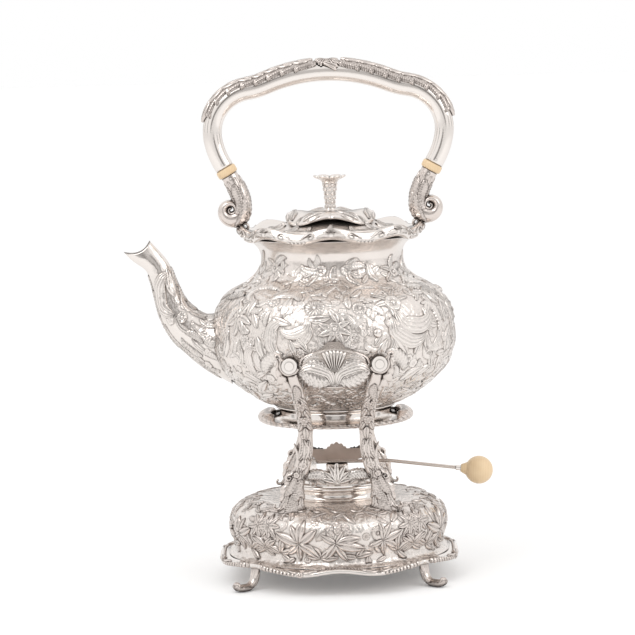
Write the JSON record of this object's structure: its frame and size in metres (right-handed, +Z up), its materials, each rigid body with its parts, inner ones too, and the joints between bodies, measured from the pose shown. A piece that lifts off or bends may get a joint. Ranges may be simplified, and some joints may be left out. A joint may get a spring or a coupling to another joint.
{
  "type": "spirit kettle on stand",
  "caption": "Silver repousse spirit kettle with hinged lid, beaked spout and arched handle, tilting on a four-legged stand over a spirit lamp with a snuffer lever.",
  "frame": {"origin": "on the table under the kettle's vertical axis, in the middle of the stand's four feet", "axes": "+Z up, -X along the spout, handle arch in the XZ plane, lid hinge on the +Y side"},
  "size_m": [0.2567, 0.183, 0.3643],
  "materials": {
    "silver": "polished silver, chased, with dark recesses",
    "ivory": "turned ivory, softly polished",
    "wick_cotton": "cotton wick"
  },
  "bodies": {
    "stand": {"stand_base": "silver", "base_flange": "silver", "foot_front_left": "silver", "foot_front_right": "silver", "foot_rear_left": "silver", "foot_rear_right": "silver", "burner_ring": "silver", "leg_front_left": "silver", "leg_front_right": "silver", "leg_rear_left": "silver", "leg_rear_right": "silver", "leg_bolts": "silver", "upper_apron_front": "silver", "upper_apron_rear": "silver", "lower_apron_front": "silver", "lower_apron_rear": "silver"},
    "pivot": {"pivot_pins": "silver"},
    "kettle": {"kettle_body": "silver", "kettle_bottom": "silver", "kettle_neck": "silver", "mouth_border": "silver", "kettle_foot": "silver", "foot_border": "silver", "spout": "silver", "pin_bosses": "silver", "rest_pins": "silver", "border_hinge_lug": "silver", "lid_hinge_pin": "silver", "handle_bail": "silver", "handle_crest": "silver", "insulator_left": "ivory", "insulator_right": "ivory", "insulator_pins": "silver", "handle_bracket_left": "silver", "handle_bracket_right": "silver"},
    "lid": {"lid_cover": "silver", "lid_frill": "silver", "finial": "silver", "finial_nut": "silver", "lid_hinge_strap": "silver"},
    "lamp": {"lamp_reservoir": "silver", "lamp_cover": "silver", "wick_tube": "silver", "wick": "wick_cotton", "lever_ears": "silver", "lever_pin": "silver"},
    "snuffer": {"snuffer_lever": "silver", "snuffer_cap": "silver", "knob_ferrule": "silver", "knob": "ivory"}
  },
  "joints": [
    {"name": "kettle_lift", "type": "slide", "parent": "stand", "child": "pivot", "axis": [0, 0, 1], "range_m": [0, 0.065]},
    {"name": "kettle_tilt", "type": "hinge", "parent": "pivot", "child": "kettle", "pos_m": [-0.0304, 0, 0.1595], "axis": [0, -1, 0], "range_deg": [0, 45]},
    {"name": "lid_hinge", "type": "hinge", "parent": "kettle", "child": "lid", "pos_m": [0, 0.052, 0.2464], "axis": [-1, 0, 0], "range_deg": [0, 95]},
    {"name": "lamp_lift", "type": "slide", "parent": "stand", "child": "lamp", "axis": [0, 0, 1], "range_m": [0, 0.024]},
    {"name": "snuffer_hinge", "type": "hinge", "parent": "lamp", "child": "snuffer", "pos_m": [-0.0177, 0, 0.0797], "axis": [0, -1, 0], "range_deg": [0, 18]}
  ]
}
